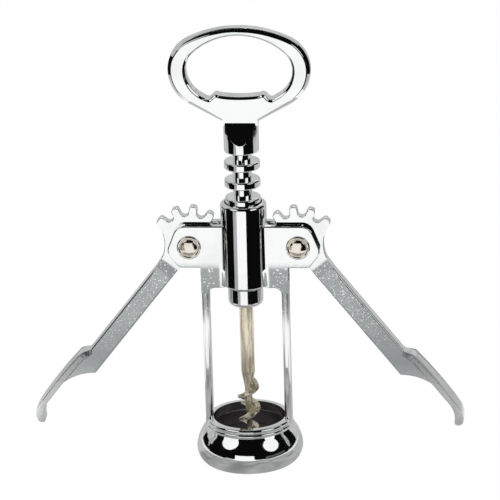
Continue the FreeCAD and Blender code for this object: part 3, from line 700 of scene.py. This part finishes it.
@dataclass
class Polish:
    """Copies a CAD piece and rounds its edges as polishing does.

    Edges that turn by more than sharp degrees are rounded by width, from the height above on.
    Lower down, edges of more than crisp degrees stay crisp. Faces that meet within flat degrees
    are one face, and one with more than broad corners is shaded flat. Where rounding folds more
    than slip of a face's area, it is tried again without that face's edges.
    """

    node: str
    body: str
    slot: str
    width: float = 0.3 * MM
    segments: int = 3
    sharp: float = 24.0
    flat: float = 0.7
    broad: int = 12
    above: float = -1.0
    crisp: float = 20.0
    spared: Spared | None = None
    slip: float = MM * MM
    tries: int = 4
    weight: int = 80

    def plane(self, face: bmesh.types.BMFace) -> Plane:
        """Gives a flat face's plane, coarsely rounded and whichever side it faces.

        Args:
            face: the face.

        Returns:
            Its direction, and its distance from the origin in millimetres.
        """
        distance = face.normal.dot(face.verts[0].co) / MM
        side = math.copysign(1.0, distance)
        return tuple(round(value * side, 1) + 0.0 for value in (*face.normal, distance))

    def tangled(self, mesh: bmesh.types.BMesh) -> set[Plane]:
        """Finds the planes of the faces that the bevel has tangled.

        Args:
            mesh: the rounded mesh.

        Returns:
            Their planes.
        """
        filled: dict[bmesh.types.BMFace, float] = {}
        for loops in mesh.calc_loop_triangles():
            area = area_tri(*(loop.vert.co for loop in loops))
            filled[loops[0].face] = filled.get(loops[0].face, 0.0) + area
        return {
            self.plane(face)
            for face, area in filled.items()
            if area - face.calc_area() > self.slip
        }

    def takes(self, edge: bmesh.types.BMEdge, narrow: set[Plane]) -> bool:
        """Tells whether an edge is rounded.

        Args:
            edge: the edge.
            narrow: the planes of the faces that are too narrow for it.

        Returns:
            Whether it is.
        """
        return (
            edge.is_manifold
            and edge.is_convex
            and edge.calc_face_angle(0.0) > math.radians(self.sharp)
            and min(corner.co.z for corner in edge.verts) > self.above
            and not (self.spared and all(map(self.spared.holds, edge.verts)))
            and not any(self.plane(face) in narrow for face in edge.link_faces)
        )

    def rounded(self, mesh: bmesh.types.BMesh) -> bmesh.types.BMesh:
        """Rounds the sharp outer edges, and leaves out those of faces too narrow for it.

        Args:
            mesh: the merged mesh.

        Returns:
            The rounded mesh.
        """
        narrow: set[Plane] = set()
        for _ in range(self.tries):
            trial = mesh.copy()
            trial.normal_update()
            bmesh.ops.bevel(
                trial,
                geom=[edge for edge in trial.edges if self.takes(edge, narrow)],
                offset=self.width,
                offset_type="OFFSET",
                affect="EDGES",
                segments=self.segments,
                profile=0.5,
                material=-1,
                clamp_overlap=False,
                loop_slide=True,
            )
            trial.normal_update()
            found = self.tangled(trial)
            if not found - narrow:
                return trial
            narrow |= found
            LOG.info("%s keeps the edges of %d flat faces", self.node, len(narrow))
            trial.free()
        return mesh

    def build(self, material: bpy.types.Material) -> bpy.types.Object:
        """Makes the rounded copy and hides the piece it stands for.

        Args:
            material: the finish of the copy.

        Returns:
            The new piece.
        """
        mesh = bmesh.new()
        mesh.from_mesh(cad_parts[self.node].data)
        bmesh.ops.remove_doubles(mesh, verts=mesh.verts, dist=WELD)
        metal = BVHTree.FromBMesh(mesh)
        bmesh.ops.dissolve_limit(
            mesh,
            angle_limit=math.radians(self.flat),
            verts=mesh.verts,
            edges=mesh.edges,
            use_dissolve_boundaries=False,
        )
        mesh = self.rounded(mesh)
        for corner in mesh.verts:
            spot, facing, _, _ = metal.find_nearest(corner.co)
            if (corner.co - spot).dot(facing) > TOUCH:
                corner.co = spot
        bmesh.ops.recalc_face_normals(mesh, faces=mesh.faces)
        for face in mesh.faces:
            face.smooth = len(face.verts) <= self.broad
        for edge in mesh.edges:
            low = max(corner.co.z for corner in edge.verts) < self.above
            edge.smooth = not (low and edge.calc_face_angle(0.0) > math.radians(self.crisp))
        thing = placed(self.node + "_polished", mesh, material)
        even_shading(thing, self.weight)
        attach(thing, self.body)
        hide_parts(self.node)
        LOG.info("polished %s: %d faces", self.node, len(thing.data.polygons))
        return thing


class Shade(Enum):
    """How much light a studio card gives back to the metal."""

    BLACK = 0.003
    DIM = 0.10
    # The grey of the painted shade on the floor round the object's foot.
    NEAR = 0.36
    GREY = 0.42
    # Pale grey for cards round the object, and for the painted shade on the floor behind it.
    PALE = 0.52
    WHITE = 1.0


@dataclass(frozen=True)
class Card:
    """A curved card round the object, by degrees from the front and degrees of height."""

    turn: Span
    lift: Span
    shade: Shade
    reach: float = 1.6


@dataclass(frozen=True)
class Softbox:
    """A round lamp face, seen only in the metal's reflections."""

    turn: float
    lift: float
    spread: float
    reach: float = 1.4


@dataclass(frozen=True)
class FloorCard:
    """A sector of shaded floor, seen only in the metal's reflections."""

    turn: Span
    inner: float
    shade: Shade
    height: float = 0.2 * MM


@dataclass(frozen=True)
class Lamp:
    """A soft lamp that lights what isn't metal."""

    name: str
    place: Triple
    power: float
    size: float = 0.5


@dataclass(frozen=True)
class View:
    """Where the photograph was taken from, in millimetres, and with which lens."""

    spot: Triple = (124.1, -1278.6, 557.3)
    aim: Triple = (1.90, 0.18, 78.11)
    roll: float = -1.68
    sensor: float = 36.0
    lens: float = 283.25
    clip: Span = (0.05, 20.0)


@dataclass
class Studio:
    """Floor, world, lamps, cards and camera."""

    cards: tuple[Card, ...] = (
        Card((-92, -28), (-3, 89), Shade.BLACK),
        Card((-28, 13), (11, 89), Shade.BLACK),
        Card((13, 92), (-3, 89), Shade.BLACK),
        Card((38, 83), (-3, 5), Shade.DIM, 1.5),
        Card((92, 268), (-3, 80), Shade.PALE),
        Card((92, 128), (-3, 42), Shade.BLACK, 1.5),
        Card((-128, -92), (-3, 12), Shade.BLACK, 1.5),
        Card((152, 208), (42, 75), Shade.BLACK, 1.5),
    )
    softboxes: tuple[Softbox, ...] = (
        Softbox(-50, 39, 17.5),
        Softbox(58, 31, 17.0),
        Softbox(180, 45, 16),
    )
    floor_cards: tuple[FloorCard, ...] = (
        FloorCard((90, 270), 0.15, Shade.PALE, 0.1 * MM),
        FloorCard((16, 90), 0.15, Shade.BLACK),
        FloorCard((-90, -48), 0.15, Shade.BLACK),
        FloorCard((-48, -30), 0.15, Shade.GREY),
        FloorCard((90, 128), 0.362, Shade.BLACK),
        FloorCard((-128, -90), 0.362, Shade.BLACK),
    )
    lamps: tuple[Lamp, ...] = (
        Lamp("key_lamp", (-0.55, -0.7, 0.75), 9.0),
        Lamp("fill_lamp", (0.65, -0.6, 0.6), 6.0),
    )
    view: View = View()
    facet: int = 4
    softbox_sides: int = 48
    # How wide the uneven places of a card's cloth are, and how far they swing.
    cloth: Span = (60.0 * MM, 0.15)
    near_cloth: Span = (9.0 * MM, 0.35)
    cloth_span: Span = (0.3, 0.7)
    cloth_layers: float = 2.0
    near_half: float = 0.085
    near_front: float = 0.088
    near_behind: float = 0.14
    near_height: float = 0.3 * MM
    floor_reach: float = 1.6
    floor_half: float = 6.0
    floor_tint: Triple = (0.95, 0.95, 0.95)
    floor_glow: float = 0.96
    ambient: float = 0.5
    lamp_aim: Triple = (0, 0, 0.07)

    def card_material(self, shade: Shade) -> bpy.types.Material:
        """Gives the glow of one card shade, slightly uneven as cloth is.

        Args:
            shade: the card's shade.

        Returns:
            The material.
        """
        paint = Paint("card_" + shade.name.lower())
        colour = rgba([shade.value] * 3)
        if shade is not Shade.WHITE:
            size, swing = self.near_cloth if shade is Shade.NEAR else self.cloth
            uneven = paint.noise(paint.place(), size, self.cloth_layers).ramp(*self.cloth_span)
            low, high = ([shade.value * (1 + side * swing)] * 3 for side in (-1, 1))
            colour = paint.blend(uneven, rgba(low), rgba(high))
        glow = paint.node("ShaderNodeEmission", {}, {"Color": colour, "Strength": 1.0})
        return paint.finish(glow)

    def put(self, name: str, mesh: bmesh.types.BMesh, shade: Shade) -> None:
        """Turns a mesh into a stage card that only mirror rays see.

        Args:
            name: the card's name.
            mesh: its mesh, which is used up.
            shade: its shade.
        """
        thing = placed(name, mesh, self.card_material(shade))
        for ray in ("camera", "diffuse", "transmission", "shadow", "volume_scatter"):
            setattr(thing, "visible_" + ray, False)

    def facets(self, span: Span) -> int:
        """Gives the number of flat strips that a span of degrees takes."""
        return max(2, int((span[1] - span[0]) / self.facet))

    def swept(self, name: str, points: Sequence[Vector], turn: Span, shade: Shade) -> None:
        """Sweeps a line of points about the upright axis into a stage card.

        Args:
            name: the card's name.
            points: the line, drawn towards the front of the object.
            turn: first and last angle from the front, in degrees.
            shade: the card's shade.
        """
        mesh = bmesh.new()
        corners = [mesh.verts.new(point) for point in points]
        line = [mesh.edges.new(pair) for pair in zip(corners, corners[1:])]
        start = Matrix.Rotation(math.radians(turn[0]), 3, "Z")
        bmesh.ops.rotate(mesh, cent=(0, 0, 0), matrix=start, verts=mesh.verts)
        bmesh.ops.spin(
            mesh,
            geom=corners + line,
            cent=(0, 0, 0),
            axis=(0, 0, 1),
            angle=math.radians(turn[1] - turn[0]),
            steps=self.facets(turn),
        )
        self.put(name, mesh, shade)

    def card(self, name: str, card: Card) -> None:
        """Bends a card round the object.

        Args:
            name: the card's name.
            card: its place and shade.
        """
        low, high = card.lift
        steps = self.facets(card.lift)
        lifts = [math.radians(low + (high - low) * i / steps) for i in range(steps + 1)]
        points = [Vector((0, -math.cos(lift), math.sin(lift))) * card.reach for lift in lifts]
        self.swept(name, points, card.turn, card.shade)

    def floor_card(self, name: str, card: FloorCard) -> None:
        """Lays a sector of shaded floor.

        Args:
            name: the card's name.
            card: its place and shade.
        """
        points = [Vector((0, -reach, card.height)) for reach in (card.inner, self.floor_reach)]
        self.swept(name, points, card.turn, card.shade)

    def softbox(self, name: str, box: Softbox) -> None:
        """Hangs a round white lamp face that looks at the object.

        Args:
            name: the lamp face's name.
            box: its place and spread.
        """
        mesh = bmesh.new()
        radius = box.reach * math.tan(math.radians(box.spread))
        sides = self.softbox_sides
        bmesh.ops.create_circle(mesh, cap_ends=True, segments=sides, radius=radius)
        round_object = Matrix.Rotation(math.radians(box.turn), 4, "Z")
        lifted = Matrix.Rotation(math.radians(90 - box.lift), 4, "X")
        out = Matrix.Translation((0, 0, box.reach))
        bmesh.ops.transform(mesh, matrix=round_object @ lifted @ out, verts=mesh.verts)
        self.put(name, mesh, Shade.WHITE)

    def painted_foot_shade(self, name: str, reach: Span, shade: Shade) -> None:
        """Lays a grey sheet round the object's foot that only mirror rays see, a painted shade of
        the object on the floor.

        Args:
            name: the card's name.
            reach: where it starts and ends from front to back.
            shade: its shade.
        """
        mesh = bmesh.new()
        # A square of one metre, which is then brought to size.
        bmesh.ops.create_grid(mesh, x_segments=1, y_segments=1, size=0.5)
        size = Vector((self.near_half * 2, reach[1] - reach[0], 1.0))
        bmesh.ops.scale(mesh, vec=size, verts=mesh.verts)
        shift = Vector((0, (reach[0] + reach[1]) / 2, self.near_height))
        bmesh.ops.translate(mesh, vec=shift, verts=mesh.verts)
        self.put(name, mesh, shade)

    def seen_directly(self, paint: Paint) -> Wire:
        """Picks the rays that see the white studio as it is.

        Args:
            paint: the material under construction.

        Returns:
            1 for the rays of the eye, of mirrors and of glass, and 0 for the rest.
        """
        rays = paint.node("ShaderNodeLightPath").socket.node.outputs
        eye, mirror, glass = (
            Wire(paint, rays["Is %s Ray" % kind]) for kind in ("Camera", "Glossy", "Transmission")
        )
        return eye + mirror + glass

    def floor(self) -> None:
        """Lays the pale floor, which shows white and keeps a faint shadow."""
        paint = Paint("floor_paper")
        share = self.seen_directly(paint) * self.floor_glow
        paper = paint.node("ShaderNodeBsdfDiffuse", {}, {"Color": rgba(self.floor_tint)})
        glow = paint.node("ShaderNodeEmission", {}, {"Color": (1, 1, 1, 1), "Strength": 1.0})
        shader = paint.node("ShaderNodeMixShader", {}, {0: share, 1: paper, 2: glow})
        mesh = bmesh.new()
        bmesh.ops.create_grid(mesh, x_segments=1, y_segments=1, size=self.floor_half)
        placed("floor", mesh, paint.finish(shader))

    def world(self) -> None:
        """Makes the background white to the eye and the metal, and soft light to the rest."""
        world = bpy.data.worlds.new("studio")
        bpy.context.scene.world = world
        world.use_nodes = True
        paint = Paint("studio", world.node_tree)
        direct = self.seen_directly(paint)
        strength = direct.maths("MINIMUM", direct, 1.0) * (1.0 - self.ambient) + self.ambient
        glow = paint.node("ShaderNodeBackground", {}, {"Color": (1, 1, 1, 1), "Strength": strength})
        paint.node("ShaderNodeOutputWorld", {}, {"Surface": glow})

    def lamp(self, lamp: Lamp) -> None:
        """Hangs a soft lamp that the metal doesn't mirror.

        Args:
            lamp: its place, size and power.
        """
        light = bpy.data.lights.new(lamp.name, "AREA")
        light.size = lamp.size
        light.energy = lamp.power
        thing = bpy.data.objects.new(lamp.name, light)
        thing.location = lamp.place
        facing = Vector(self.lamp_aim) - Vector(lamp.place)
        thing.rotation_euler = facing.to_track_quat("-Z", "Y").to_euler()
        thing.visible_glossy = False
        bpy.context.scene.collection.objects.link(thing)

    def camera(self) -> None:
        """Places the camera where the photograph was taken from."""
        view = self.view
        data = bpy.data.cameras.new("camera")
        data.sensor_width = view.sensor
        data.lens = view.lens
        data.clip_start, data.clip_end = view.clip
        thing = bpy.data.objects.new("camera", data)
        spot = Vector(view.spot) * MM
        facing = (Vector(view.aim) * MM - spot).to_track_quat("-Z", "Y").to_matrix()
        roll = Matrix.Rotation(math.radians(view.roll), 3, "Z")
        thing.location = spot
        thing.rotation_euler = (facing @ roll).to_euler()
        bpy.context.scene.collection.objects.link(thing)
        bpy.context.scene.camera = thing

    def build(self) -> None:
        """Sets up the whole studio."""
        for index, card in enumerate(self.cards):
            self.card("card_%02d" % index, card)
        for index, box in enumerate(self.softboxes):
            self.softbox("softbox_%02d" % index, box)
        for index, card in enumerate(self.floor_cards):
            self.floor_card("floor_card_%02d" % index, card)
        # Painted shade: grey sheets in front of and behind the object's foot, seen only in the
        # metal.
        self.painted_foot_shade("painted_foot_shade", (-self.near_front, 0.0), Shade.NEAR)
        self.painted_foot_shade("painted_foot_shade_behind", (0.0, self.near_behind), Shade.PALE)
        self.floor()
        self.world()
        for lamp in self.lamps:
            self.lamp(lamp)
        self.camera()
        LOG.info("set up the studio: %d cards", len(self.cards) + len(self.floor_cards))


def main() -> None:
    """Builds the pieces and the studio in order."""
    logging.basicConfig(level=logging.INFO, format="%(message)s")
    bpy.context.scene.view_settings.view_transform = "Standard"
    chrome = Plating("chrome").material()
    frame_chrome = Plating("frame_chrome", Cast.WEBS, speck_size=0.38 * MM).material()
    left_chrome = Plating("left_lever_chrome", Cast.LEFT_ARM).material()
    right_chrome = Plating("right_lever_chrome", Cast.RIGHT_ARM).material()
    nickel = Plating(
        "rivet_nickel", tint=(0.82, 0.77, 0.69), shade=(0.66, 0.60, 0.51), gloss=0.1
    ).material()
    Polish("frame", "stand", "frame_chrome", 0.25 * MM, spared=Spared()).build(frame_chrome)
    Polish("lever_left", "left_wing", "lever_chrome", 0.22 * MM, 2).build(left_chrome)
    Polish("lever_right", "right_wing", "lever_chrome", 0.22 * MM, 2).build(right_chrome)
    Polish("rack", "rack", "rack_chrome", 0.15 * MM, 2).build(chrome)
    Polish("key", "spindle", "key_chrome", sharp=30.0, above=125.5 * MM).build(chrome)
    Throats().build(chrome)
    Rivet("rivet_left", -PIVOT[0]).build(nickel)
    Rivet("rivet_right", PIVOT[0]).build(nickel)
    dress = {
        "ferrule": chrome,
        "worm": DrawnSteel("worm_steel").material(),
        "bell_liner": Moulding("liner_black").material(),
    }
    for name, material in dress.items():
        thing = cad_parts[name]
        thing.data.materials.clear()
        thing.data.materials.append(material)
        LOG.info("dressed %s", name)
    Studio().build()


if __name__ == "__main__":
    main()
